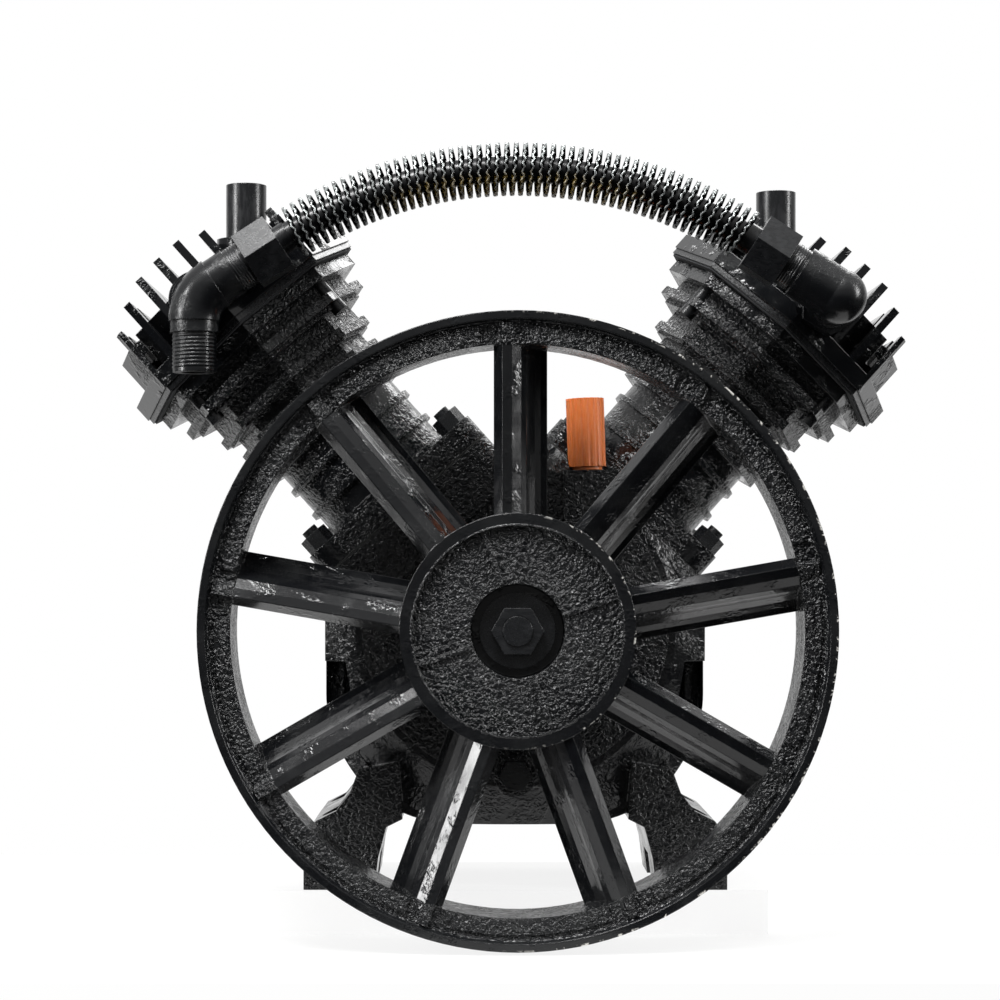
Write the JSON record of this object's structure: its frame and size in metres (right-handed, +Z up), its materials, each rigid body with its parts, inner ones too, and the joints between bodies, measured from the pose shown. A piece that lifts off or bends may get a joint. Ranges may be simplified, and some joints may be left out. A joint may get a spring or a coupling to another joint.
{
  "type": "air compressor pump head",
  "caption": "Belt-driven twin-cylinder V air compressor pump head with a bladed fan flywheel, finned heads and an arched finned discharge pipe.",
  "frame": {"origin": "centre of the four foot bolts, on the plane under the feet", "axes": "+Z up; +Y along the crankshaft, from the flywheel to the rear cover; +X to the right seen from the flywheel"},
  "size_m": [0.401, 0.199, 0.3841],
  "materials": {
    "black_casting": "gloss black paint over cast iron",
    "black_steel": "gloss black paint on steel",
    "bare_steel": "machined",
    "fin_steel": "black paint worn bright at the edges",
    "alloy": "machined",
    "gasket": "pressed fibre",
    "seal_rubber": "matte",
    "orange_plastic": "satin moulded",
    "sight_lens": "clear"
  },
  "bodies": {
    "pump_body": {"crankcase": "black_casting", "front_oil_seal": "seal_rubber", "front_bearing_outer": "bare_steel", "rear_bearing_outer": "bare_steel", "rear_cover": "black_casting", "rear_cover_gasket": "gasket", "rear_cover_bolts": "bare_steel", "sight_glass": "sight_lens", "sight_glass_bezel": "bare_steel", "drain_plug": "black_steel", "base_gasket_left": "gasket", "cylinder_left": "black_casting", "base_studs_left": "bare_steel", "base_nuts_left": "black_steel", "head_gasket_left": "gasket", "valve_plate_left": "bare_steel", "reed_valves_left": "bare_steel", "head_left": "black_casting", "head_bolts_left": "bare_steel", "intake_pipe_left": "black_steel", "base_gasket_right": "gasket", "cylinder_right": "black_casting", "base_studs_right": "bare_steel", "base_nuts_right": "black_steel", "head_gasket_right": "gasket", "valve_plate_right": "bare_steel", "reed_valves_right": "bare_steel", "head_right": "black_casting", "head_bolts_right": "bare_steel", "intake_pipe_right": "black_steel", "discharge_tee": "black_steel", "discharge_elbow": "black_steel", "pipe_nut_left": "black_steel", "pipe_nut_right": "black_steel", "crossover_pipe": "black_steel", "crossover_fins": "fin_steel"},
    "rotor": {"flywheel": "black_casting", "crankshaft": "bare_steel", "flywheel_key": "bare_steel", "flywheel_washer": "bare_steel", "flywheel_nut": "bare_steel", "front_bearing_inner": "bare_steel", "front_bearing_balls": "bare_steel", "rear_bearing_inner": "bare_steel", "rear_bearing_balls": "bare_steel"},
    "filler": {"filler_plug": "orange_plastic"},
    "piston_group_left": {"piston_left": "alloy", "piston_rings_left": "bare_steel", "wrist_pin_left": "bare_steel"},
    "rod_group_left": {"connecting_rod_left": "alloy", "crankpin_journal_left": "bare_steel"},
    "piston_group_right": {"piston_right": "alloy", "piston_rings_right": "bare_steel", "wrist_pin_right": "bare_steel"},
    "rod_group_right": {"connecting_rod_right": "alloy", "crankpin_journal_right": "bare_steel"}
  },
  "joints": [
    {"name": "crank_spin", "type": "hinge", "parent": "pump_body", "child": "rotor", "pos_m": [0, 0, 0.13], "axis": [0, 1, 0], "continuous": true},
    {"name": "filler_plug_lift", "type": "slide", "parent": "pump_body", "child": "filler", "axis": [-0.0349, 0, 0.9994], "range_m": [0, 0.05]},
    {"name": "piston_left_stroke", "type": "slide", "parent": "pump_body", "child": "piston_group_left", "axis": [-0.6691, 0, 0.7431], "range_m": [-0.0392, 0.0067]},
    {"name": "rod_left_swing", "type": "hinge", "parent": "piston_group_left", "child": "rod_group_left", "pos_m": [-0.10253, -0.012, 0.24387], "axis": [0, 1, 0], "range_deg": [-3.21, 16.11]},
    {"name": "piston_right_stroke", "type": "slide", "parent": "pump_body", "child": "piston_group_right", "axis": [0.6691, 0, 0.7431], "range_m": [-0.0392, 0.0067]},
    {"name": "rod_right_swing", "type": "hinge", "parent": "piston_group_right", "child": "rod_group_right", "pos_m": [0.10253, 0.012, 0.24387], "axis": [0, 1, 0], "range_deg": [-16.11, 3.21]}
  ]
}
